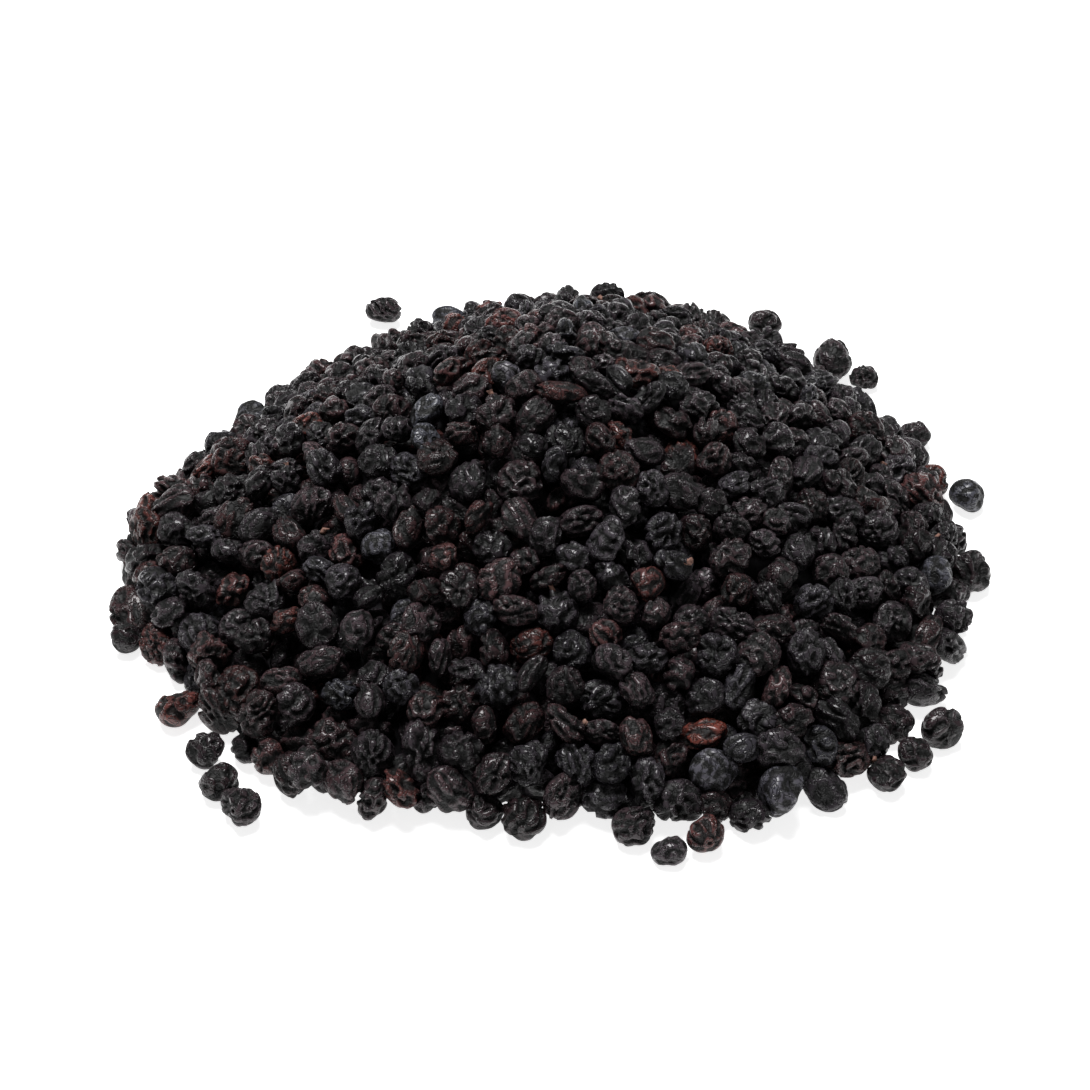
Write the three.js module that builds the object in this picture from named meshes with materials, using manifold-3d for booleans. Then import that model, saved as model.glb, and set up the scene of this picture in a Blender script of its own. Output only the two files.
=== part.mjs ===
// A heap of dried blackcurrants, as poured out on a table: wrinkled berries that lie on one another in
// a low round mound, and a few that rolled a little way off and lie by themselves on the surface.
// Millimetres, +Z up, with the origin at the middle of the heap's underside.
import * as THREE from "three";
import { mergeVertices } from "three/addons/utils/BufferGeometryUtils.js";
import Module from "manifold-3d";

const wasm = await Module();
wasm.setup();

// Driving dimensions
const BERRY = 6.8; // mean diameter of a dried berry
const SMALLEST = 0.76; // smallest berry, as a share of the mean
const LARGEST = 1.26;
const HEAP_HEIGHT = 45; // to the tops of the uppermost berries
// The heap's edge, every 15 degrees from +X towards +Y
const FOOT_RADII = [
  84, 83, 81, 81, 83, 84, 82, 77, 75, 75, 76, 80, 89, 90, 86, 90, 89, 83, 82, 87, 92, 91, 88, 86,
];
const SEED = 4711;

// Berries that lie apart from the heap: place on the surface, diameter, and whether the skin dried red
const STRAYS = [
  { name: "stray_back_left", x: -38.5, y: 81, size: 6.6, red: false },
  { name: "stray_left", x: -83, y: -31.5, size: 5.8, red: false },
  { name: "stray_left_front", x: -70.5, y: -51, size: 7, red: true },
  { name: "stray_front_left_1", x: -64, y: -62.5, size: 6.3, red: false },
  { name: "stray_front_left_2", x: -61, y: -71, size: 6.6, red: false },
  { name: "stray_front_left_3", x: -56.5, y: -77.5, size: 6.8, red: false },
  { name: "stray_front_1", x: -12.5, y: -78.5, size: 6.1, red: false },
  { name: "stray_front_2", x: -5.5, y: -80.5, size: 7.2, red: false },
  { name: "stray_front_3", x: 14.5, y: -82.5, size: 7.1, red: false },
  { name: "stray_front_4", x: 20.5, y: -87, size: 5.4, red: false },
  { name: "stray_front_5", x: 27, y: -84.5, size: 6.5, red: true },
  { name: "stray_front_right_1", x: 61, y: -69, size: 6.2, red: false },
  { name: "stray_front_right_2", x: 66.5, y: -63.5, size: 6, red: false },
  { name: "stray_front_right_3", x: 72.5, y: -58, size: 7.1, red: false },
  { name: "stray_right_1", x: 83.5, y: -13, size: 7.6, red: false },
  { name: "stray_right_2", x: 86.5, y: 13, size: 6.7, red: false },
  { name: "stray_right_3", x: 79.5, y: 17.5, size: 6.3, red: true },
  { name: "stray_back_right_1", x: 78, y: 34.5, size: 5.6, red: false },
  { name: "stray_back_right_2", x: 62.5, y: 60, size: 8.8, red: false },
  { name: "stray_back_right_3", x: 69, y: 55.5, size: 5.3, red: false },
  { name: "stray_back_right_4", x: 48.5, y: 76, size: 6.8, red: false },
];
const CLEARANCE = 1; // between a stray berry and its neighbours
const STRAY_SINK = 0.06; // share of a stray berry's size that the flat spot under it takes off

// The heap's layers, measured down from its outer surface
const EDGE_HEIGHT = BERRY; // the outer surface over the heap's edge, one berry above the table
const SUMMIT_ROUNDING = 0.3; // share of the radius over which the cone's tip is rounded
const SHELL = 1.7 * BERRY; // depth of the layer that is packed with berries
const SHELL_COUNT = 960; // berries in that layer
const CORE_DEPTH = 0.7 * BERRY; // from the outer surface down to the solid core
const CORE_INSET = 1.1 * BERRY; // from the heap's edge in to the core's edge
const MODELLED_COUNT = 510; // the outermost berries, which stand out of the core
const LAYER_SPLIT = 19; // height at which the heap is divided into a lower and an upper layer

// How the berries come to rest
const GOLDEN_ANGLE = Math.PI * (3 - Math.sqrt(5));
const PUSHES = 160; // rounds of pushing apart
const PUSH_SHARE = 0.45; // share of an overlap that one round takes out
const STANDS_PROUD = 0.8; // most that a berry stands out of the outer surface, in radii
const RAGGEDNESS = 0.6 * BERRY; // a berry stops up to this far inside the heap's edge

// One berry of the heap, in radii
const BERRY_SIDES = 5;
const SHOULDER_HEIGHT = 0.42;
const SHOULDER_RADIUS = 0.94;
const ROOT_RADIUS = 0.6;
const ROOT_DEPTH = 0.75; // from the berry's middle down to its root's end
const ROOT_BITE = 0.5; // least that a root reaches into the core
const EDGE_ROOT = 0.95; // where the edge's berries are rooted, as a share of the way to the core's edge
const MERGE_FLAT = 0.0002; // faces that bend less than this over their length are one face

// A repeatable stream of numbers from 0 to 1
function randomStream(seed) {
  const modulus = 2147483647;
  let state = seed;
  return () => {
    state = (state * 48271) % modulus;
    return state / modulus;
  };
}
const draw = randomStream(SEED);

// The heap's edge in a direction, eased between the measured radii
function footRadius(angle) {
  const turn = ((angle / (2 * Math.PI)) * FOOT_RADII.length + FOOT_RADII.length) % FOOT_RADII.length;
  const before = Math.floor(turn) % FOOT_RADII.length;
  const after = (before + 1) % FOOT_RADII.length;
  const ease = (1 - Math.cos(Math.PI * (turn - Math.floor(turn)))) / 2;
  return FOOT_RADII[before] + (FOOT_RADII[after] - FOOT_RADII[before]) * ease;
}

// Height of the outer surface: a cone with a rounded tip
function heapHeight(x, y) {
  const reach = Math.sqrt(x * x + y * y) / footRadius(Math.atan2(y, x));
  const rounded = Math.sqrt(reach * reach + SUMMIT_ROUNDING * SUMMIT_ROUNDING);
  const atEdge = Math.sqrt(1 + SUMMIT_ROUNDING * SUMMIT_ROUNDING);
  const share = (atEdge - rounded) / (atEdge - SUMMIT_ROUNDING);
  return EDGE_HEIGHT + (HEAP_HEIGHT - EDGE_HEIGHT) * share;
}

// The way that the outer surface faces
function slopeNormal(x, y) {
  const step = 0.5;
  const alongX = heapHeight(x - step, y) - heapHeight(x + step, y);
  const alongY = heapHeight(x, y - step) - heapHeight(x, y + step);
  return new THREE.Vector3(alongX, alongY, 2 * step).normalize();
}

// How deep a berry's middle lies under the outer surface
function depthOf(berry) {
  return (heapHeight(berry.x, berry.y) - berry.z) * slopeNormal(berry.x, berry.y).z;
}

// The berries of the layer start evenly spread, along a spiral that turns by the golden angle. Each has
// a size and a form of its own, and its own least depth and distance from the heap's edge.
function makeBerries() {
  return Array.from({ length: SHELL_COUNT }, (_, i) => {
    const radius = (BERRY / 2) * (SMALLEST + (LARGEST - SMALLEST) * (draw() + draw()) * 0.5);
    const angle = i * GOLDEN_ANGLE;
    const wrapped = Math.atan2(Math.sin(angle), Math.cos(angle));
    const distance = (footRadius(wrapped) - BERRY / 2) * Math.sqrt((i + 0.5) / SHELL_COUNT);
    const x = distance * Math.cos(angle);
    const y = distance * Math.sin(angle);
    const z = heapHeight(x, y) - SHELL * draw();
    const leastDepth = radius * (1 - STANDS_PROUD * draw());
    const edgeGap = radius + RAGGEDNESS * draw() * draw();
    return { x, y, z, radius, leastDepth, edgeGap, ...drawForm() };
  });
}

// Most berries dried nearly round and a little flat, and some dried long. The flat side faces out.
function drawForm() {
  const long = draw() < 0.12;
  const length = long ? 1.2 + 0.15 * draw() : 1 + 0.1 * draw();
  const width = long ? 0.88 : 0.96 + 0.06 * draw();
  return { length, width, thickness: 1 / (length * width), spin: 2 * Math.PI * draw() };
}

// Pushes apart the berries that press into one another, and holds them in the layer.
function settle(berries, still) {
  const all = [...berries, ...still];
  for (let round = 0; round < PUSHES; round++) {
    const moves = berries.map((berry, i) => pushFrom(berry, all, i, berries.length));
    berries.forEach((berry, i) => {
      berry.x += moves[i].x;
      berry.y += moves[i].y;
      berry.z += moves[i].z;
      holdIn(berry);
    });
  }
}

// How far the others push one berry. A berry that lies still doesn't give way, so it pushes twice as far.
function pushFrom(berry, all, own, movingCount) {
  const move = { x: 0, y: 0, z: 0 };
  for (let j = 0; j < all.length; j++) {
    const other = all[j];
    const reach = berry.radius + other.radius;
    const dx = berry.x - other.x;
    const dy = berry.y - other.y;
    const dz = berry.z - other.z;
    const apart = dx * dx + dy * dy + dz * dz;
    if (j === own || apart >= reach * reach) continue;
    const distance = Math.sqrt(apart);
    const share = (((j < movingCount ? 1 : 2) * PUSH_SHARE) / 2) * (reach / distance - 1);
    move.x += dx * share;
    move.y += dy * share;
    move.z += dz * share;
  }
  return move;
}

// Holds a berry inside the heap's edge, in the layer, and on the table.
function holdIn(berry) {
  const distance = Math.sqrt(berry.x * berry.x + berry.y * berry.y);
  const most = footRadius(Math.atan2(berry.y, berry.x)) - berry.edgeGap;
  const inwards = Math.min(1, most / distance);
  berry.x *= inwards;
  berry.y *= inwards;
  const normal = slopeNormal(berry.x, berry.y);
  const depth = depthOf(berry);
  const wanted = Math.min(Math.max(depth, berry.leastDepth), SHELL - berry.radius);
  berry.x -= normal.x * (wanted - depth);
  berry.y -= normal.y * (wanted - depth);
  berry.z = Math.max(berry.radius, berry.z - normal.z * (wanted - depth));
}

// A closed geometry as a solid that can be joined to others
function solidOf(geometry) {
  const bare = new THREE.BufferGeometry();
  bare.setAttribute("position", geometry.getAttribute("position"));
  bare.setIndex(geometry.index);
  const merged = mergeVertices(bare, 1e-4);
  const corners = Array.from(merged.index.array);
  const triangles = [];
  for (let i = 0; i < corners.length; i += 3) {
    const [a, b, c] = corners.slice(i, i + 3);
    if (a !== b && b !== c && c !== a) triangles.push(a, b, c);
  }
  return new wasm.Manifold(
    new wasm.Mesh({
      numProp: 3,
      vertProperties: merged.getAttribute("position").array,
      triVerts: new Uint32Array(triangles),
    }),
  );
}

function geometryOf(solid) {
  const mesh = solid.getMesh();
  const geometry = new THREE.BufferGeometry();
  geometry.setAttribute("position", new THREE.BufferAttribute(mesh.vertProperties, 3));
  geometry.setIndex(new THREE.BufferAttribute(mesh.triVerts, 1));
  geometry.computeVertexNormals();
  return geometry;
}

// The heap's inside: the outer surface set in, with a flat underside and the heap's own uneven edge
function coreGeometry() {
  const rings = 5;
  const profile = [new THREE.Vector2(0, 0), new THREE.Vector2(1, 0)];
  for (let ring = rings; ring >= 0; ring--) profile.push(new THREE.Vector2(ring / rings, 1));
  const geometry = new THREE.LatheGeometry(profile, FOOT_RADII.length);
  geometry.rotateX(Math.PI / 2);
  const places = geometry.getAttribute("position");
  for (let i = 0; i < places.count; i++) {
    const edge = footRadius(Math.atan2(places.getY(i), places.getX(i))) - CORE_INSET;
    const x = places.getX(i) * edge;
    const y = places.getY(i) * edge;
    places.setXYZ(i, x, y, places.getZ(i) > 0.5 ? coreHeight(x, y) : 0);
  }
  return geometry;
}

function coreHeight(x, y) {
  return heapHeight(x, y) - CORE_DEPTH / slopeNormal(x, y).z;
}

// A berry's size, form and turn as one matrix, for a shape of radius 1 whose flat side faces +Y
function berryMatrix(berry, outwards) {
  const up = new THREE.Vector3(0, 1, 0);
  const turn = new THREE.Quaternion().setFromUnitVectors(up, outwards);
  turn.multiply(new THREE.Quaternion().setFromAxisAngle(up, berry.spin));
  const scale = new THREE.Vector3(berry.length, berry.thickness, berry.width).multiplyScalar(berry.radius);
  return new THREE.Matrix4().compose(new THREE.Vector3(berry.x, berry.y, berry.z), turn, scale);
}

// Flattens what would go below the surface that the heap lies on.
function flattenUnderside(geometry) {
  const places = geometry.getAttribute("position");
  for (let i = 0; i < places.count; i++) places.setZ(i, Math.max(0, places.getZ(i)));
  return geometry;
}

// Share of the way from the heap's middle to the core's edge
function coreReach({ x, y }) {
  return Math.sqrt(x * x + y * y) / (footRadius(Math.atan2(y, x)) - CORE_INSET);
}

// Where a berry's root ends inside the core: straight down from the slope, or in the core's edge
function rootEnd(berry) {
  const { x, y, z, radius } = berry;
  const reach = coreReach(berry);
  if (reach > EDGE_ROOT) {
    const inwards = EDGE_ROOT / reach;
    return new THREE.Vector3(x * inwards, y * inwards, coreHeight(x * inwards, y * inwards) / 2);
  }
  const depth = Math.max(ROOT_DEPTH, (CORE_DEPTH - depthOf(berry)) / radius + ROOT_BITE);
  return new THREE.Vector3(x, y, z).addScaledVector(slopeNormal(x, y), -depth * radius);
}

// A berry of the heap: a five-sided rounded top, with its root far enough down to end inside the core
function rootedBerry(berry) {
  const root = rootEnd(berry);
  const outwards = new THREE.Vector3(berry.x, berry.y, berry.z).sub(root);
  const depth = outwards.length() / (berry.radius * berry.thickness);
  const profile = [
    new THREE.Vector2(0, -depth),
    new THREE.Vector2(ROOT_RADIUS, -depth),
    new THREE.Vector2(SHOULDER_RADIUS, SHOULDER_HEIGHT),
    new THREE.Vector2(0, 1),
  ];
  const geometry = new THREE.LatheGeometry(profile, BERRY_SIDES);
  return flattenUnderside(geometry.applyMatrix4(berryMatrix(berry, outwards.normalize())));
}

// A berry that lies apart, whole and rounder
function strayBerry(stray) {
  const geometry = new THREE.IcosahedronGeometry(1, 1);
  return flattenUnderside(geometry.applyMatrix4(berryMatrix(stray, new THREE.Vector3(0, 0, 1))));
}

// The berries that are modelled: those at the core's edge and the outermost of those on its slope
function outermost(berries) {
  const rank = (berry) => (coreReach(berry) > 1 ? 0 : depthOf(berry));
  return [...berries].sort((a, b) => rank(a) - rank(b)).slice(0, MODELLED_COUNT);
}

// A layer of the core with the berries that are rooted in it
function joinLayer(core, berries) {
  return wasm.Manifold.union([core, ...berries.map(rootedBerry).map(solidOf)]);
}

// One body, with the faces that lie in one plane merged
function tidied(solid) {
  const bodies = solid.asOriginal().simplify(MERGE_FLAT).decompose();
  return bodies.sort((a, b) => b.volume() - a.volume())[0];
}

const blackSkin = new THREE.MeshStandardMaterial({ color: 0x211d20, roughness: 0.5, metalness: 0 });
const redSkin = new THREE.MeshStandardMaterial({ color: 0x4a1d19, roughness: 0.5, metalness: 0 });

function named(name, geometry, material) {
  const mesh = new THREE.Mesh(geometry, material);
  mesh.name = name;
  return mesh;
}

const strays = STRAYS.map((stray) => ({
  ...stray,
  ...drawForm(),
  z: (0.5 - STRAY_SINK) * stray.size,
  radius: stray.size / 2,
}));
const kept = strays.map((stray) => ({ ...stray, radius: stray.radius * stray.length + CLEARANCE }));
const berries = makeBerries();
settle(berries, kept);

const modelled = outermost(berries);
const isUpper = (berry) => rootEnd(berry).z > LAYER_SPLIT;
const [coreAbove, coreBelow] = solidOf(coreGeometry()).splitByPlane([0, 0, 1], LAYER_SPLIT);
const upper = tidied(joinLayer(coreAbove, modelled.filter(isUpper)));
const lowerBerries = modelled.filter((berry) => !isUpper(berry));
const lower = tidied(joinLayer(coreBelow, lowerBerries).subtract(upper));

const heap = new THREE.Group();
heap.add(named("heap_lower", geometryOf(lower), blackSkin));
heap.add(named("heap_upper", geometryOf(upper), blackSkin));
for (const stray of strays) {
  heap.add(named(stray.name, strayBerry(stray), stray.red ? redSkin : blackSkin));
}

export default heap;
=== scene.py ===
import math

import bmesh
import bpy
import numpy as np
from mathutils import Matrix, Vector


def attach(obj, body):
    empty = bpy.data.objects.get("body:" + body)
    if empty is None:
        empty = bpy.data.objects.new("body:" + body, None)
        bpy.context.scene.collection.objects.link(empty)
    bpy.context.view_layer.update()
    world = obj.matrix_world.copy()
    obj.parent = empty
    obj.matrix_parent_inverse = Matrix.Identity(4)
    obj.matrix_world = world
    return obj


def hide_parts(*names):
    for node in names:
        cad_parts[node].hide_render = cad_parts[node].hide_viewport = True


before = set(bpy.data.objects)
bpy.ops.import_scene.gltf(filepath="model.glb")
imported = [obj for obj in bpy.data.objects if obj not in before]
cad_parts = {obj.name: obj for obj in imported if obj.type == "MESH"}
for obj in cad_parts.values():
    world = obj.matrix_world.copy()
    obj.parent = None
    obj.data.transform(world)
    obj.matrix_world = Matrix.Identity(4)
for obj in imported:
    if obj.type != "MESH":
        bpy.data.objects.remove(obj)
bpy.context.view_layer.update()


# The mound
# Several hundred blackcurrants, dried whole and poured out on a table. They came to rest in a low round
# mound with an uneven edge, and nothing holds them but their weight. Sizes are in millimetres.
BERRY = 6.8  # mean diameter of a dried berry
SMALLEST, LARGEST = 0.76, 1.26  # shares of the mean
HEAP_HEIGHT = 45
# The mound's edge, every 15 degrees from +X towards +Y
FOOT_RADII = np.array(
    [84, 83, 81, 81, 83, 84, 82, 77, 75, 75, 76, 80, 89, 90, 86, 90, 89, 83, 82, 87, 92, 91, 88, 86], float
)
EDGE_HEIGHT = BERRY
SUMMIT_ROUNDING = 0.3  # share of the mound's radius that its tip is rounded over
SHELL = 1.7 * BERRY  # depth of the layer of berries that can be seen into
SHELL_COUNT = 960  # berries in that layer
CORE_DEPTH = 0.7 * BERRY  # from the outer surface down to the solids' core
CORE_INSET = 1.1 * BERRY  # from the mound's edge in to the core's foot
EDGE_ROOT = 0.95  # a berry further out than this share of the core's foot is rooted at the foot
LAYER_SPLIT = 19  # height where the lower layer of solids ends and the upper one starts
PUSHES = 160  # rounds of berries pushing one another apart
PUSH_SHARE = 0.45  # of an overlap that one round takes up
STANDS_PROUD = 0.8  # share of its radius that a berry may stand out of the outer surface
RAGGEDNESS = 0.6 * BERRY  # how far in from the edge a berry at the edge may stop
CLEARANCE = 1  # between a berry that lies apart and its neighbours
ROOT_LEAST, ROOT_SINK = 0.75, 0.5  # shares of its radius that a berry's root goes down, and into the core
SHOWS_DEPTH = 5.2  # a berry whose middle is less deep than this shows
PACKING_SEED = 4711
# Forms of a berry, in diameters: the least, and the spread above it
LONG_SHARE = 0.12  # of all berries
LONG_LENGTH, ROUND_LENGTH, ROUND_WIDTH = (1.2, 0.15), (1, 0.1), (0.96, 0.06)
LONG_WIDTH = 0.88
GOLDEN_ANGLE = math.pi * (3 - math.sqrt(5))
# The berries that rolled off: name, place on the table, diameter, and whether the skin dried red
STRAYS = [
    ("stray_back_left", -38.5, 81, 6.6, False),
    ("stray_left", -83, -31.5, 5.8, False),
    ("stray_left_front", -70.5, -51, 7, True),
    ("stray_front_left_1", -64, -62.5, 6.3, False),
    ("stray_front_left_2", -61, -71, 6.6, False),
    ("stray_front_left_3", -56.5, -77.5, 6.8, False),
    ("stray_front_1", -12.5, -78.5, 6.1, False),
    ("stray_front_2", -5.5, -80.5, 7.2, False),
    ("stray_front_3", 14.5, -82.5, 7.1, False),
    ("stray_front_4", 20.5, -87, 5.4, False),
    ("stray_front_5", 27, -84.5, 6.5, True),
    ("stray_front_right_1", 61, -69, 6.2, False),
    ("stray_front_right_2", 66.5, -63.5, 6, False),
    ("stray_front_right_3", 72.5, -58, 7.1, False),
    ("stray_right_1", 83.5, -13, 7.6, False),
    ("stray_right_2", 86.5, 13, 6.7, False),
    ("stray_right_3", 79.5, 17.5, 6.3, True),
    ("stray_back_right_1", 78, 34.5, 5.6, False),
    ("stray_back_right_2", 62.5, 60, 8.8, False),
    ("stray_back_right_3", 69, 55.5, 5.3, False),
    ("stray_back_right_4", 48.5, 76, 6.8, False),
]
STRAY_SINK = 0.06  # share of its diameter that such a berry lies lower, on its flat side


def random_stream(seed):
    """A repeatable stream of numbers from 0 to 1, the one that the solids were packed with."""
    multiplier, modulus = 48271, 2147483647
    state = seed
    while True:
        state = state * multiplier % modulus
        yield state / modulus


stream = random_stream(PACKING_SEED)


def draw_form():
    """Length, width, thickness and turn of one berry: most dried nearly round, and some dried long."""
    long = next(stream) < LONG_SHARE
    least, spread = LONG_LENGTH if long else ROUND_LENGTH
    length = least + spread * next(stream)
    width = LONG_WIDTH if long else ROUND_WIDTH[0] + ROUND_WIDTH[1] * next(stream)
    return length, width, 1 / (length * width), 2 * math.pi * next(stream)


def foot_radius(x, y):
    """Distance from the middle to the mound's edge, in the direction of a place."""
    count = len(FOOT_RADII)
    turn = (np.arctan2(y, x) / (2 * np.pi) * count + count) % count
    before = np.floor(turn).astype(int) % count
    ease = (1 - np.cos(np.pi * (turn - np.floor(turn)))) / 2
    return FOOT_RADII[before] + (FOOT_RADII[(before + 1) % count] - FOOT_RADII[before]) * ease


def heap_height(x, y):
    """Height of the mound's outer surface: a cone with a rounded tip."""
    rounded = np.sqrt((np.hypot(x, y) / foot_radius(x, y)) ** 2 + SUMMIT_ROUNDING**2)
    at_edge = math.sqrt(1 + SUMMIT_ROUNDING**2)
    share = (at_edge - rounded) / (at_edge - SUMMIT_ROUNDING)
    return EDGE_HEIGHT + (HEAP_HEIGHT - EDGE_HEIGHT) * share


def slope_normal(x, y):
    """The way that the mound's outer surface faces."""
    step = 0.5
    along_x = heap_height(x - step, y) - heap_height(x + step, y)
    along_y = heap_height(x, y - step) - heap_height(x, y + step)
    normal = np.stack([along_x, along_y, np.full_like(along_x, 2 * step)], -1)
    return normal / np.linalg.norm(normal, axis=-1, keepdims=True)


stray_forms = np.array([draw_form() for _ in STRAYS])
stray_sizes = np.array([row[3] for row in STRAYS], float)
stray_places = np.array([(row[1], row[2], (0.5 - STRAY_SINK) * row[3]) for row in STRAYS], float)

# The berries start evenly spread, along a spiral that turns by the golden angle.
places = np.zeros((SHELL_COUNT, 3))
radii = np.zeros(SHELL_COUNT)
least_depths = np.zeros(SHELL_COUNT)
edge_gaps = np.zeros(SHELL_COUNT)
forms = np.zeros((SHELL_COUNT, 4))
for i in range(SHELL_COUNT):
    radii[i] = BERRY / 2 * (SMALLEST + (LARGEST - SMALLEST) * (next(stream) + next(stream)) * 0.5)
    towards = np.array([math.cos(i * GOLDEN_ANGLE), math.sin(i * GOLDEN_ANGLE)])
    x, y = towards * (foot_radius(*towards) - BERRY / 2) * math.sqrt((i + 0.5) / SHELL_COUNT)
    places[i] = x, y, heap_height(x, y) - SHELL * next(stream)
    least_depths[i] = radii[i] * (1 - STANDS_PROUD * next(stream))
    edge_gaps[i] = radii[i] + RAGGEDNESS * next(stream) * next(stream)
    forms[i] = draw_form()

# Then they push one another apart, inside the edge, in the layer and above the table.
all_radii = np.append(radii, stray_sizes / 2 * stray_forms[:, 0] + CLEARANCE)
reaches = radii[:, None] + all_radii[None, :]
for _ in range(PUSHES):
    everyone = np.vstack([places, stray_places])
    squares = (places**2).sum(1)[:, None] + (everyone**2).sum(1)[None, :] - 2 * places @ everyone.T
    np.fill_diagonal(squares, np.inf)  # no berry pushes itself
    own, other = np.nonzero(squares < reaches**2)
    between = places[own] - everyone[other]
    push = np.where(other < SHELL_COUNT, 1, 2) * PUSH_SHARE / 2
    push = push * (reaches[own, other] / np.linalg.norm(between, axis=1) - 1)
    np.add.at(places, own, between * push[:, None])
    x, y, z = places.T
    inwards = np.minimum(1, (foot_radius(x, y) - edge_gaps) / np.hypot(x, y))
    x, y = x * inwards, y * inwards
    normal = slope_normal(x, y)
    depth = (heap_height(x, y) - z) * normal[:, 2]
    sunk = np.minimum(np.maximum(depth, least_depths), SHELL - radii) - depth
    places = np.stack([x, y, z], -1) - normal * sunk[:, None]
    places[:, 2] = np.maximum(radii, places[:, 2])

x, y, z = places.T
normals = slope_normal(x, y)
depths = (heap_height(x, y) - z) * normals[:, 2]
core_reach = np.hypot(x, y) / (foot_radius(x, y) - CORE_INSET)
# A berry on the slope faces straight out of it, and one at the edge away from the core's foot.
held = np.minimum(1, EDGE_ROOT / core_reach)
held_height = (heap_height(x * held, y * held) - CORE_DEPTH / slope_normal(x * held, y * held)[:, 2]) / 2
from_foot = places - np.stack([x * held, y * held, held_height], -1)
outwards = np.where((core_reach > EDGE_ROOT)[:, None], from_foot, normals)
outwards = outwards / np.linalg.norm(outwards, axis=1, keepdims=True)
root_drop = radii * np.maximum(ROOT_LEAST, (CORE_DEPTH - depths) / radii + ROOT_SINK)
root_height = np.where(core_reach > EDGE_ROOT, held_height, z - normals[:, 2] * root_drop)
is_upper = root_height > LAYER_SPLIT
is_outer = np.where(core_reach > 1, 0, depths) < SHOWS_DEPTH


# The dried berries
# Each is one blackcurrant that lost most of its water: the skin was too big for what was left and fell into
# rounded folds with deep pits between them. They lie loose on one another, with dark gaps.
def whole_sphere(rounds):
    """Directions and triangles of an even ball of triangles."""
    ball = bmesh.new()
    bmesh.ops.create_icosphere(ball, subdivisions=rounds, radius=1)
    ball.verts.index_update()
    directions = np.array([vert.co[:] for vert in ball.verts])
    triangles = np.array([[vert.index for vert in face.verts] for face in ball.faces])
    ball.free()
    return directions / np.linalg.norm(directions, axis=1, keepdims=True), triangles


GATHERED = 0.62  # distance between points on the side that shows, as a share of an even ball's


def gather_outside(directions):
    """Draws the points of a ball towards its +Y side, which is the side of a berry that shows."""
    across = np.clip(directions[:, 1], -0.999999, 0.999999)  # off the poles, where a side is divided by 0
    squeezed = GATHERED**2 * (1 - across) / (1 + across)
    up = (1 - squeezed) / (1 + squeezed)
    side = np.sqrt((1 - up**2) / (1 - across**2))
    return np.stack([directions[:, 0] * side, up, directions[:, 2] * side], -1)


# How a skin folds. Heights are in radii of the berry, and waves that cross make the winding folds.
WAVES, SWIRL = 12, 0.12
ANY_PHASE = 6.3  # radians, a little over a full turn
END_REACH, END_HEIGHT = 0.7, 1.5  # of the ring round the berry's end, in folds and in heights of a wave
FOLD_FOOT, FOLD_RISE = -0.8, 1.25  # where a fold starts on the waves, and how much of them it takes up
PATCHINESS, LUMPINESS = 0.25, 0.05
BACK_START, BACK_RISE, BACK_LEAST = -0.75, 0.9, 0.25  # folds are shallower behind, where the mesh is coarse
DENT_COUNT, DENT_DEPTH, DENT_EDGE, DENT_RISE = (2, 5), (0.03, 0.3), (0.25, 0.7), 0.5
DEEPEST, HIGHEST = 0.58, 0.25  # the least radius, and the most that a crest stands over the mean one
# The skin value, 1 on the crests and on points that stand far out and 0 in the pits, sets the painted sheen
# and painted shade in the skin's colour, and its roughness.
CREST_SHARE, HEIGHT_SHARE, PIT_LEVEL = 0.75, 0.6, 0.25


def shrivel(directions, rng, fold, depth, run):
    """Radius of a berry in each direction, and 1 on the crests of its folds down to 0 in the pits.
    Fold is the distance from one fold to the next in radii, and run how much folds run along X: 1 is not
    at all."""
    pace = 2 * math.pi / fold
    swirl = np.sin(directions @ rng.normal(0, 2, (3, 3)) + rng.uniform(0, ANY_PHASE, 3))
    waves = rng.normal(size=(WAVES, 3))
    waves *= pace * np.array([run, 1, 1]) / np.linalg.norm(waves, axis=1, keepdims=True)
    phases = (directions + SWIRL * swirl) @ waves.T + rng.uniform(0, ANY_PHASE, WAVES)
    winding = np.cos(phases).sum(1) / math.sqrt(WAVES / 2)
    end = np.array([1, *rng.normal(0, 0.7, 2)]) * rng.choice([-1, 1])
    from_end = np.arccos(np.clip(directions @ (end / np.linalg.norm(end)), -1, 1))
    at_end = np.exp(-((from_end / (END_REACH * fold)) ** 4))
    winding = winding * (1 - at_end) - END_HEIGHT * at_end * np.cos(pace * from_end)
    crest = np.clip((winding - FOLD_FOOT) / FOLD_RISE, 0, 1)
    crest = crest * crest * (3 - 2 * crest)
    patch = np.sin(directions @ rng.normal(0, 2, (3, 2)) + rng.uniform(0, ANY_PHASE, 2)).sum(1)
    facing_out = np.clip((directions[:, 1] - BACK_START) / BACK_RISE, BACK_LEAST, 1)
    radius = 1 - depth * facing_out * (1 + PATCHINESS * patch) * (1 - crest)
    lumps = np.sin(directions @ rng.normal(0, 2.4, (3, 4)) + rng.uniform(0, ANY_PHASE, 4)).sum(1)
    radius += LUMPINESS * lumps
    for _ in range(rng.integers(*DENT_COUNT)):
        centre = rng.normal(size=3)
        facing = directions @ (centre / np.linalg.norm(centre))
        share = np.clip((facing - rng.uniform(*DENT_EDGE)) / DENT_RISE, 0, 1)
        radius -= rng.uniform(*DENT_DEPTH) * share * share * (3 - 2 * share)
    radius = np.maximum(radius / radius.mean(), DEEPEST)
    radius = np.where(radius > 1, 1 + HIGHEST * np.tanh((radius - 1) / HIGHEST), radius)
    height = (radius - radius.min()) / (radius.max() - radius.min())
    return radius, np.clip(CREST_SHARE * crest + HEIGHT_SHARE * height - PIT_LEVEL, 0, 1)


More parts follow.
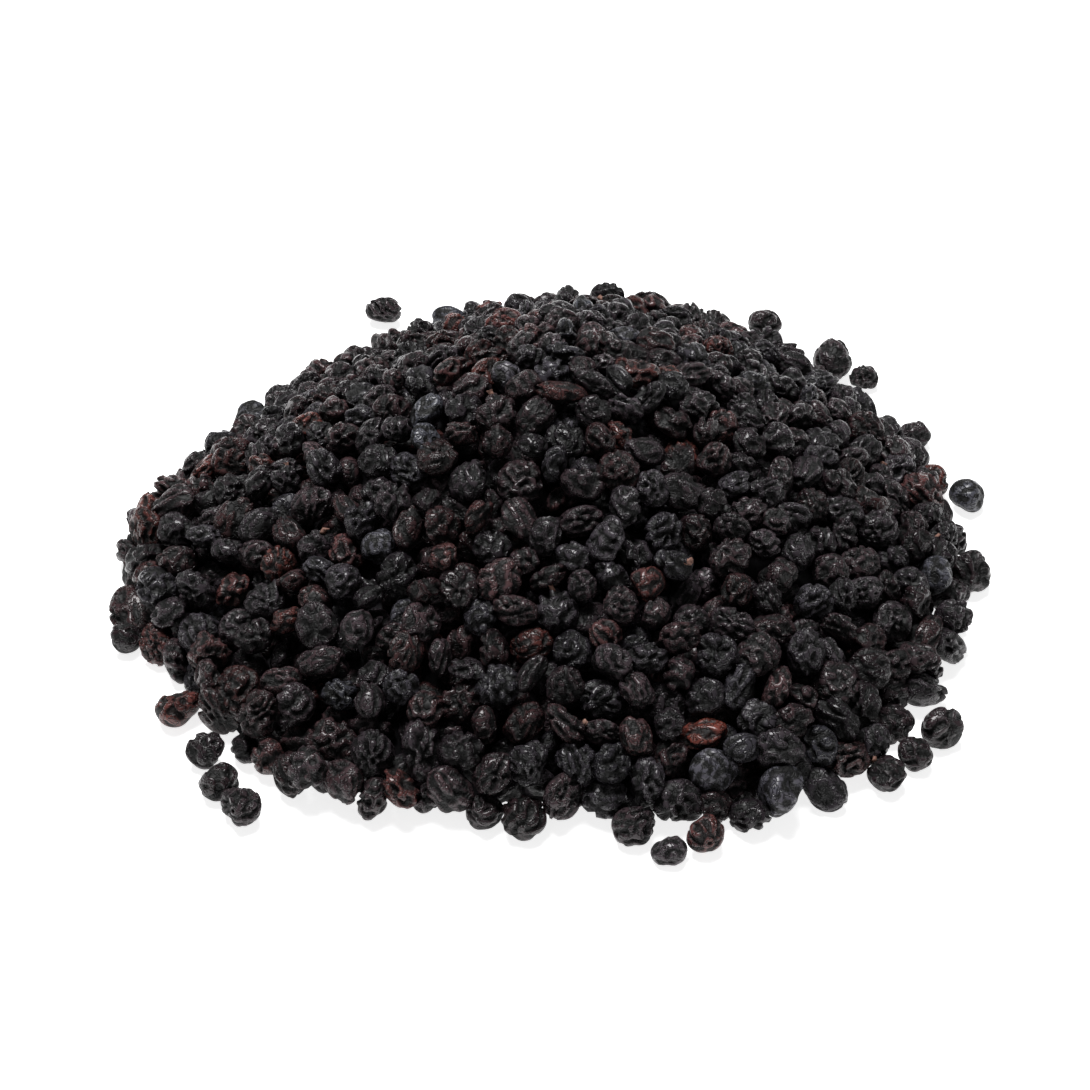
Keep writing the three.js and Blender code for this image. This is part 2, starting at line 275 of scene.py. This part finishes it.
def berry_axes(outward, spin):
    """The three directions of a berry's length, thickness and width, with its flat side facing out."""
    up = np.array([0.0, 1.0, 0.0])
    axis = np.cross(up, outward)
    cosine = up @ outward
    skew = np.array([[0, -axis[2], axis[1]], [axis[2], 0, -axis[0]], [-axis[1], axis[0], 0]])
    tilt = np.eye(3) + skew + skew @ skew / (1 + cosine)
    cos, sin = math.cos(spin), math.sin(spin)
    return tilt @ np.array([[cos, 0, sin], [0, 1, 0], [-sin, 0, cos]])


# Mean radius over a berry's folds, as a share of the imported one: on the slope, and at the edge or apart
ON_SLOPE, AT_EDGE = 0.89, 1.02
# Berries that stand out in the mound, by number: dried red, dried brown, smooth with a grey bloom, and in
# long folds
RED_ONES = [84, 205, 271, 373, 548, 661, 743, 794, 860]
BROWN_ONES = [39, 50, 56, 74, 277, 321, 359, 380, 449, 478, 554, 621, 711, 809, 871, 889]
BROWN_AMOUNT = 0.55
SMOOTH_ONES = [329, 832, 856, 886, 908]
LONG_FOLDED_ONES = [633, 738]
SMOOTH_SHARE, LONG_FOLDS_SHARE = 0.02, 0.12  # of the berries that aren't listed
LONG_FORM = 1.15  # a berry longer than this has long folds
FOLD_WIDTH = 1.35, 2.1  # mm from one fold to the next
# Depths of folds, in radii: the least and the spread above it, a smooth berry's, and shares of the first
FOLD_DEPTH, SMOOTH_DEPTH, LONG_FOLD_SHARE, APART_SHARE = (0.21, 0.12), 0.05, 0.7, 0.6
LONG_RUN, ROUND_RUN = 0.4, 0.85
PRESSED_FLAT, APART_FLAT_SHARE = (0.05, 0.42), 0.3
PRESSED_UPWARDS, APART_UPWARDS = 0.5, 5  # how much a berry is pressed from its outer side, over any other
KEEPS_BULK = -0.33  # a berry that is pressed flat grows by about the same bulk to its sides
NEAR_TABLE = 1.2  # mm, a berry with its lowest point under this rests on the table
SMOOTH_BLOOM, MOST_BLOOM = 0.4, 0.15
# More of the berries on the left dried brown: the value in the middle, and the millimetres for one less
BROWNER_MIDDLE, BROWNER_WIDTH = 0.55, 250
# Share of berries that dried clearly brown, and tint of the others: the least, and what that value adds
BROWN_SHARE, BROWN_TINT = (0.02, 0.09), (0.07, 0.24)
CLEAR_BROWN = 0.2, 0.5  # tint of the clearly brown ones


def dried_berry(
    directions, rng, place, radius, form, outward, red=None, smooth=None, long_folds=False, apart=False
):
    """Points of one dried berry, its axes, and its values for the skin: crest, red, bloom and tone."""
    length, width, thickness, spin = form
    chance = rng.uniform(size=6)
    smooth = chance[0] < SMOOTH_SHARE if smooth is None else smooth
    long_folds = long_folds or length > LONG_FORM or chance[1] < LONG_FOLDS_SHARE
    depth = (APART_SHARE if apart else 1) * (LONG_FOLD_SHARE if long_folds else 1)
    depth = SMOOTH_DEPTH if smooth else depth * (FOLD_DEPTH[0] + FOLD_DEPTH[1] * chance[2])
    fold = rng.uniform(*FOLD_WIDTH) / radius
    rays, crest = shrivel(directions, rng, fold, depth, LONG_RUN if long_folds else ROUND_RUN)
    axes = berry_axes(outward, spin)
    shape = directions * rays[:, None] * np.array([length, thickness, width]) * radius
    pressed_side = rng.normal(size=3) + [0, APART_UPWARDS if apart else PRESSED_UPWARDS, 0]
    pressed_side /= np.linalg.norm(pressed_side)
    flat = rng.uniform(*PRESSED_FLAT) * (APART_FLAT_SHARE if apart else 1)
    shape = (shape - np.outer(shape @ pressed_side, pressed_side) * flat) * (1 - flat) ** KEEPS_BULK
    points = place + shape @ axes.T
    if points[:, 2].min() < NEAR_TABLE:
        points[:, 2] -= points[:, 2].min()
    if red is None:
        browner = BROWNER_MIDDLE - place[0] / BROWNER_WIDTH
        if chance[4] < BROWN_SHARE[0] + BROWN_SHARE[1] * browner:
            red = rng.uniform(*CLEAR_BROWN)
        else:
            red = (BROWN_TINT[0] + BROWN_TINT[1] * browner) * rng.uniform() ** 2
    bloom = SMOOTH_BLOOM if smooth else MOST_BLOOM * chance[5] ** 3
    values = np.zeros((len(points), 4))
    values[:] = 0, red, bloom, rng.uniform()
    values[:, 0] = crest
    return points, axes, values


def made_piece(name, points, triangles, material):
    """A smooth mesh piece from points in millimetres."""
    mesh = bpy.data.meshes.new(name)
    mesh.from_pydata(points * 0.001, [], triangles)
    mesh.polygons.foreach_set("use_smooth", np.ones(len(triangles), bool))
    mesh.materials.append(material)
    piece = bpy.data.objects.new(name, mesh)
    bpy.context.scene.collection.objects.link(piece)
    return piece


SKIN_VALUES = ["crest", "red", "bloom", "tone"]


def berry_piece(name, berries, material):
    """One piece of several berries, with the values that colour their skins."""
    starts = np.cumsum([0] + [len(points) for points, _, _ in berries])
    points = np.vstack([points for points, _, _ in berries])
    triangles = np.vstack([faces + start for (_, faces, _), start in zip(berries, starts)])
    values = np.vstack([values for _, _, values in berries])
    piece = made_piece(name, points, triangles, material)
    for column, value in enumerate(SKIN_VALUES):
        layer = piece.data.attributes.new(value, "FLOAT", "POINT")
        layer.data.foreach_set("value", values[:, column].astype(np.float32))
    return piece


def linear(hex_colour):
    """An sRGB hex colour as linear RGBA."""
    parts = [int(hex_colour[i : i + 2], 16) / 255 for i in (1, 3, 5)]
    return [p / 12.92 if p <= 0.04045 else ((p + 0.055) / 1.055) ** 2.4 for p in parts] + [1]


def add(tree, kind, inputs=None, **settings):
    """Adds a node with its settings, and fills in or links its inputs."""
    node = tree.nodes.new(kind)
    for name, value in settings.items():
        setattr(node, name, value)
    for socket, value in (inputs or {}).items():
        if isinstance(value, bpy.types.NodeSocket):
            tree.links.new(value, node.inputs[socket])
        else:
            node.inputs[socket].default_value = value
    return node


# Dried blackcurrant skin: nearly black with a purple cast, thin and waxy. The crests are smoother and take a
# grey shine, the pits are rougher, and the colour is painted lighter on the crests as a painted sheen and
# darker in the pits and fine creases as painted shade. Where the sugar browned, the skin shows red-brown.
WRINKLE = 1.15  # mm over one of the finest wrinkles
BLOTCH = 2.6  # mm over a patch that browned
GRAIN, GRAIN_COARSER = 0.22, 4  # mm over the skin's pores, drawn four times as coarse, or they wouldn't show
skin = bpy.data.materials.new("dried_blackcurrant_skin")
skin.use_nodes = True
tree = skin.node_tree
tree.nodes.clear()
crest, red, bloom, tone = [
    add(tree, "ShaderNodeAttribute", attribute_name=name).outputs["Fac"] for name in SKIN_VALUES
]
where = add(tree, "ShaderNodeTexCoord").outputs["Object"]
blotch = add(tree, "ShaderNodeTexNoise", {"Vector": where, "Scale": 1000 / BLOTCH, "Detail": 3})
grain = add(tree, "ShaderNodeTexNoise", {"Vector": where, "Scale": 1000 / GRAIN / GRAIN_COARSER, "Detail": 2})
wrinkles = add(
    tree,
    "ShaderNodeTexNoise",
    {"Vector": where, "Scale": 1000 / WRINKLE, "Detail": 1.5, "Roughness": 0.5, "Distortion": 0.5},
)
from_crease = add(tree, "ShaderNodeMath", {0: wrinkles.outputs["Fac"], 1: 0.5}, operation="SUBTRACT")
from_crease = add(tree, "ShaderNodeMath", {0: from_crease.outputs[0]}, operation="ABSOLUTE")
black = add(
    tree,
    "ShaderNodeMix",
    {"Factor": tone, "A": linear("#040304"), "B": linear("#120f11")},
    data_type="RGBA",
)
red_share = add(
    tree,
    "ShaderNodeMapRange",
    {"Value": blotch.outputs["Fac"], "From Min": 0.3, "From Max": 0.65, "To Min": 0.45, "To Max": 1.1},
)
red_amount = add(
    tree, "ShaderNodeMath", {0: red, 1: red_share.outputs[0]}, operation="MULTIPLY", use_clamp=True
)
browned = add(
    tree,
    "ShaderNodeMix",
    {"Factor": red_amount.outputs[0], "A": black.outputs["Result"], "B": linear("#29110d")},
    data_type="RGBA",
)
bloomed = add(
    tree,
    "ShaderNodeMix",
    {"Factor": bloom, "A": browned.outputs["Result"], "B": linear("#2a2c31")},
    data_type="RGBA",
)
# Painted shade along the fine creases: the colour is darkened to a quarter there, and the same value is the
# height of the skin's bump.
crease_bump_and_painted_shade = add(
    tree,
    "ShaderNodeMapRange",
    {"Value": from_crease.outputs[0], "From Min": 0, "From Max": 0.1, "To Min": 0.25, "To Max": 1},
    interpolation_type="SMOOTHSTEP",
)
# Painted sheen and painted shade: the skin value lightens the colour up to 6.5 times on the crests and
# darkens it to a fiftieth in the pits.
painted_sheen_and_pit_shade = add(
    tree,
    "ShaderNodeMapRange",
    {"Value": crest, "From Min": 0.25, "From Max": 1, "To Min": 0.02, "To Max": 6.5},
    interpolation_type="SMOOTHSTEP",
)
# The pits of red berries keep at least half of their red, so the painted shade is lighter there.
least = add(tree, "ShaderNodeMath", {0: red_amount.outputs[0], 1: 0.5}, operation="MULTIPLY")
lightened = add(tree, "ShaderNodeMath", {0: painted_sheen_and_pit_shade.outputs[0], 1: least.outputs[0]}, operation="MAXIMUM")
shaded = add(
    tree, "ShaderNodeMath", {0: lightened.outputs[0], 1: crease_bump_and_painted_shade.outputs[0]}, operation="MULTIPLY"
)
colour = add(
    tree,
    "ShaderNodeVectorMath",
    {0: bloomed.outputs["Result"], "Scale": shaded.outputs[0]},
    operation="SCALE",
)
dullness = add(
    tree,
    "ShaderNodeMapRange",
    {"Value": crest, "From Min": 0.35, "From Max": 0.95, "To Min": 0.6, "To Max": 0.24},
)
fine_height = add(
    tree,
    "ShaderNodeMath",
    {0: grain.outputs["Fac"], 1: 0.15, 2: crease_bump_and_painted_shade.outputs[0]},
    operation="MULTIPLY_ADD",
)
relief = add(
    tree,
    "ShaderNodeBump",
    {"Height": fine_height.outputs[0], "Strength": 1, "Distance": 0.0002},
)
surface = add(
    tree,
    "ShaderNodeBsdfPrincipled",
    {
        "Base Color": colour.outputs[0],
        "Roughness": dullness.outputs[0],
        "IOR": 1.45,
        "Specular IOR Level": 0.4,
        "Normal": relief.outputs[0],
    },
)
add(tree, "ShaderNodeOutputMaterial", {"Surface": surface.outputs[0]})

FORM_SEED = 1907
SHOWING_ROUNDS, DEEP_ROUNDS = 4, 3  # of splitting a ball's triangles
AT_FOOT = 0.95  # a berry this far out, as a share of the core's foot, is at the edge
rng = np.random.default_rng(FORM_SEED)
showing_ball, showing_faces = whole_sphere(SHOWING_ROUNDS)
showing_ball = gather_outside(showing_ball)
deep_ball, deep_faces = whole_sphere(DEEP_ROUNDS)
deep_ball = gather_outside(deep_ball)
berry_frames = []
heap_berries = []
for i in range(SHELL_COUNT):
    ball, faces = (showing_ball, showing_faces) if is_outer[i] else (deep_ball, deep_faces)
    points, axes, values = dried_berry(
        ball,
        rng,
        places[i],
        radii[i] * (AT_EDGE if core_reach[i] > AT_FOOT else ON_SLOPE),
        forms[i],
        outwards[i],
        red=1 if i in RED_ONES else BROWN_AMOUNT if i in BROWN_ONES else None,
        smooth=True if i in SMOOTH_ONES else None,
        long_folds=i in LONG_FOLDED_ONES,
    )
    berry_frames.append(axes)
    heap_berries.append((points, faces, values))

QUARTERS = ["right", "back", "left", "front"]
quarter = np.floor((np.degrees(np.arctan2(y, x)) + 45) % 360 / 90).astype(int)
for layer, in_layer in (("heap_lower", ~is_upper), ("heap_upper", is_upper)):
    for number, side in enumerate(QUARTERS):
        chosen = np.nonzero(in_layer & (quarter == number))[0]
        piece = berry_piece(f"{layer}_{side}", [heap_berries[i] for i in chosen], skin)
        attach(piece, "root")
        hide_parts(layer)


# The berries that lie apart
# A few of the same berries rolled a little way from the mound and lie singly on the table. They kept rounder
# than the ones in the mound, and each rests on its lowest fold.
STRAY_ROUNDS = 5
ROUNDER = 0.4  # power that brings a form nearer to a ball's
STRAY_RED, STRAY_BLACK = 0.8, 0.06  # how red the skin dried
stray_ball, stray_faces = whole_sphere(STRAY_ROUNDS)
for (name, _, _, size, is_red), place, form in zip(STRAYS, stray_places, stray_forms):
    points, _, values = dried_berry(
        stray_ball,
        rng,
        place,
        size / 2 * AT_EDGE,
        np.append(form[:3] ** ROUNDER, form[3]),
        np.array([0, 0, 1.0]),
        red=STRAY_RED if is_red else STRAY_BLACK,
        apart=True,
    )
    piece = berry_piece(f"{name}_berry", [(points, stray_faces, values)], skin)
    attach(piece, "root")
    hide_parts(name)


# The stalk ends
# A few berries kept a stub of the stalk that they hung by: dry wood, broken off short, with a frayed tip.
# Each is rooted where its berry reaches furthest in the stub's direction.
STUB_SHARE = 0.03  # of the berries that show
STUB_SIDES = 7
STUB_LENGTH, STUB_RADIUS = (0.8, 1.4), (0.35, 0.6)  # mm
STUB_ROOT = 0.5  # mm of its length that is in the berry
STUB_PROFILE = ((0, 1.25), (0.45, 0.9), (0.8, 1), (1, 1.2), (0.92, 0.4))  # shares of length and radius
ASKEW = [0.31, 0.22, 0.92]  # any direction that no stub has
stub_points, stub_faces = [], []
for i in np.nonzero(is_outer & (rng.uniform(size=SHELL_COUNT) < STUB_SHARE))[0]:
    points = heap_berries[i][0]
    along = berry_frames[i] @ np.array([rng.choice([-1, 1]), rng.uniform(0.5, 1.4), rng.normal(0, 0.4)])
    along /= np.linalg.norm(along)
    out = (points - places[i]) @ along
    root = points[np.argmax(out)] - along * STUB_ROOT
    aside = np.cross(along, ASKEW)
    aside /= np.linalg.norm(aside)
    across = np.cross(along, aside)
    bend = rng.normal(0, 0.12, 2)
    start = sum(len(part) for part in stub_points)
    reach = rng.uniform(*STUB_LENGTH)
    thick = rng.uniform(*STUB_RADIUS)
    for level, girth in STUB_PROFILE:
        angle = np.arange(STUB_SIDES) * 2 * np.pi / STUB_SIDES
        ragged = girth * thick * rng.uniform(0.8, 1.2, STUB_SIDES)
        middle = root + along * reach * level + (aside * bend[0] + across * bend[1]) * level**2 * 3
        rim = np.outer(np.cos(angle) * ragged, aside) + np.outer(np.sin(angle) * ragged, across)
        rim += np.outer(rng.normal(0, 0.06, STUB_SIDES), along)
        stub_points.append(middle + rim)
    for k in range(len(STUB_PROFILE) - 1):
        for j in range(STUB_SIDES):
            a, b = start + k * STUB_SIDES + j, start + k * STUB_SIDES + (j + 1) % STUB_SIDES
            stub_faces += [(a, b, b + STUB_SIDES), (a, b + STUB_SIDES, a + STUB_SIDES)]
    last = start + (len(STUB_PROFILE) - 1) * STUB_SIDES
    stub_faces += [(last, last + j, last + j + 1) for j in range(1, STUB_SIDES - 1)]
    stub_faces += [(start, start + j + 1, start + j) for j in range(1, STUB_SIDES - 1)]

# Dry stalk wood: fibrous and dull, a faded pink-brown that differs from stub to stub, with darker fibres.
FIBRE, FIBRE_COARSER = 0.25, 3  # mm between fibres, drawn three times as coarse, or they wouldn't show
FADING = 18  # mm over which the brown changes
stalk_wood = bpy.data.materials.new("dry_stalk_wood")
stalk_wood.use_nodes = True
tree = stalk_wood.node_tree
tree.nodes.clear()
where = add(tree, "ShaderNodeTexCoord").outputs["Object"]
fibres = add(
    tree, "ShaderNodeTexNoise", {"Vector": where, "Scale": 1000 / FIBRE / FIBRE_COARSER, "Detail": 2}
)
faded = add(tree, "ShaderNodeTexNoise", {"Vector": where, "Scale": 1000 / FADING})
hue = add(
    tree,
    "ShaderNodeMix",
    {"Factor": faded.outputs["Fac"], "A": linear("#8c5f50"), "B": linear("#b08d7e")},
    data_type="RGBA",
)
streaked = add(
    tree,
    "ShaderNodeMix",
    {"Factor": fibres.outputs["Fac"], "A": linear("#5a3b30"), "B": hue.outputs["Result"]},
    data_type="RGBA",
)
ribs = add(tree, "ShaderNodeBump", {"Height": fibres.outputs["Fac"], "Strength": 0.7, "Distance": 0.0001})
surface = add(
    tree,
    "ShaderNodeBsdfPrincipled",
    {"Base Color": streaked.outputs["Result"], "Roughness": 0.75, "IOR": 1.5, "Normal": ribs.outputs[0]},
)
add(tree, "ShaderNodeOutputMaterial", {"Surface": surface.outputs[0]})
stubs = made_piece("stalk_ends", np.vstack(stub_points), np.array(stub_faces), stalk_wood)
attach(stubs, "root")


# The inside of the mound
# More of the same berries, pressed together under the ones that show. Nothing of them is seen but darkness
# in the gaps, so they are one uneven dark body under the outer layer.
INSIDE_DEPTH = 9.5
INSIDE_INSET = 1.3 * BERRY  # from the mound's edge to the body's foot
INSIDE_LUMPS = 1.2
INSIDE_FOOT, INSIDE_LEAST = 0.2, 0.3  # heights over the table
INSIDE_RINGS, INSIDE_SPOKES = 16, 72
ring, spoke = np.meshgrid(np.arange(1, INSIDE_RINGS + 1), np.arange(INSIDE_SPOKES), indexing="ij")
spoke_angle = spoke.ravel() * 2 * np.pi / INSIDE_SPOKES
inside_x, inside_y = np.cos(spoke_angle), np.sin(spoke_angle)
inside_reach = ring.ravel() / INSIDE_RINGS * (foot_radius(inside_x, inside_y) - INSIDE_INSET)
inside_x, inside_y = inside_x * inside_reach, inside_y * inside_reach
lumps = INSIDE_LUMPS * np.sin(inside_x * 2 * np.pi / BERRY) * np.sin(inside_y * 2 * np.pi / BERRY)
inside_z = heap_height(inside_x, inside_y) - INSIDE_DEPTH / slope_normal(inside_x, inside_y)[:, 2] + lumps
inside_z = np.where(ring.ravel() == INSIDE_RINGS, INSIDE_FOOT, np.maximum(inside_z, INSIDE_LEAST))
summit_z = heap_height(np.zeros(1), np.zeros(1)) - INSIDE_DEPTH
inside_ends = [[0, 0, summit_z[0]], [0, 0, INSIDE_FOOT]]
inside_points = np.vstack([np.stack([inside_x, inside_y, inside_z], -1), inside_ends])
inside_faces = []
for j in range(INSIDE_SPOKES):
    after = (j + 1) % INSIDE_SPOKES
    inside_faces.append((INSIDE_RINGS * INSIDE_SPOKES, j, after))
    for k in range(INSIDE_RINGS - 1):
        low, high = k * INSIDE_SPOKES, (k + 1) * INSIDE_SPOKES
        inside_faces.append((low + j, high + j, high + after))
        inside_faces.append((low + j, high + after, low + after))
    rim = (INSIDE_RINGS - 1) * INSIDE_SPOKES
    inside_faces.append((INSIDE_RINGS * INSIDE_SPOKES + 1, rim + after, rim + j))

# Pressed blackcurrant skin, out of the light: the same skin, dull, with only a little change of tone.
pressed = bpy.data.materials.new("pressed_blackcurrant_skin")
pressed.use_nodes = True
tree = pressed.node_tree
tree.nodes.clear()
where = add(tree, "ShaderNodeTexCoord").outputs["Object"]
patches = add(tree, "ShaderNodeTexVoronoi", {"Vector": where, "Scale": 1000 / BERRY})
dark = add(
    tree,
    "ShaderNodeMix",
    {"Factor": patches.outputs["Distance"], "A": linear("#141115"), "B": linear("#070607")},
    data_type="RGBA",
)
surface = add(
    tree,
    "ShaderNodeBsdfPrincipled",
    {"Base Color": dark.outputs["Result"], "Roughness": 0.8, "IOR": 1.45, "Specular IOR Level": 0.2},
)
add(tree, "ShaderNodeOutputMaterial", {"Surface": surface.outputs[0]})
inside = made_piece("heap_inside", inside_points, np.array(inside_faces), pressed)
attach(inside, "root")
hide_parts("heap_lower", "heap_upper")


# The table
# A plain white surface under soft light from above. It glows a little of its own, as a sheet that is lit from
# below does, so that the shadows round the berries are faint. It goes on far beyond the picture.
TABLE_HALF = 40  # metres
floor_mesh = bpy.data.meshes.new("table")
corners = [(-1, -1), (1, -1), (1, 1), (-1, 1)]
floor_mesh.from_pydata([(x * TABLE_HALF, y * TABLE_HALF, 0) for x, y in corners], [], [(0, 1, 2, 3)])
table_top = bpy.data.objects.new("table", floor_mesh)
bpy.context.scene.collection.objects.link(table_top)
# Matt white paper: rough, with no shine, and only a trace of its fibres in the white.
PAPER_FIBRE = 3  # mm over a cloud of fibres
GLOW = 0.8
paper = bpy.data.materials.new("matt_white_paper")
paper.use_nodes = True
tree = paper.node_tree
tree.nodes.clear()
where = add(tree, "ShaderNodeTexCoord").outputs["Object"]
fibre = add(tree, "ShaderNodeTexNoise", {"Vector": where, "Scale": 1000 / PAPER_FIBRE, "Detail": 4})
white = add(
    tree,
    "ShaderNodeMix",
    {"Factor": fibre.outputs["Fac"], "A": linear("#f3f3f3"), "B": linear("#f8f8f8")},
    data_type="RGBA",
)
surface = add(
    tree,
    "ShaderNodeBsdfPrincipled",
    {
        "Base Color": white.outputs["Result"],
        "Roughness": 0.9,
        "Emission Color": (1, 1, 1, 1),
        "Emission Strength": GLOW,
    },
)
add(tree, "ShaderNodeOutputMaterial", {"Surface": surface.outputs[0]})
floor_mesh.materials.append(paper)


# Light and camera
# A large soft box overhead, a little behind the mound, in an evenly lit white room. The camera looks
# down along +Y at 39.5 degrees, as the photograph was taken.
room = bpy.data.worlds.new("white_room")
bpy.context.scene.world = room
room.use_nodes = True
room.node_tree.nodes["Background"].inputs["Color"].default_value = (1, 1, 1, 1)
room.node_tree.nodes["Background"].inputs["Strength"].default_value = 0.15

soft_box = bpy.data.lights.new("soft_box", "AREA")
soft_box.shape = "SQUARE"
soft_box.size = 0.45
soft_box.energy = 13.4
lamp = bpy.data.objects.new("soft_box", soft_box)
lamp.location = (-0.12, 0.2, 0.95)
mound_middle = Vector((0, 0, 0.02))
lamp.rotation_euler = (mound_middle - lamp.location).to_track_quat("-Z", "Y").to_euler()
bpy.context.scene.collection.objects.link(lamp)

ELEVATION = math.radians(39.5)
CAMERA_DISTANCE = 0.5
FOCAL_SHARE = 2500 / 1090  # focal length over the width of the picture
aim = Vector((-0.0015, -0.009, 0.008))
lens = bpy.data.cameras.new("camera")
lens.sensor_width = 36
lens.lens = lens.sensor_width * FOCAL_SHARE
camera = bpy.data.objects.new("camera", lens)
looking = Vector((0, math.cos(ELEVATION), -math.sin(ELEVATION)))
camera.location = aim - looking * CAMERA_DISTANCE
camera.rotation_euler = looking.to_track_quat("-Z", "Y").to_euler()
bpy.context.scene.collection.objects.link(camera)
bpy.context.scene.camera = camera
bpy.context.scene.view_settings.view_transform = "Standard"
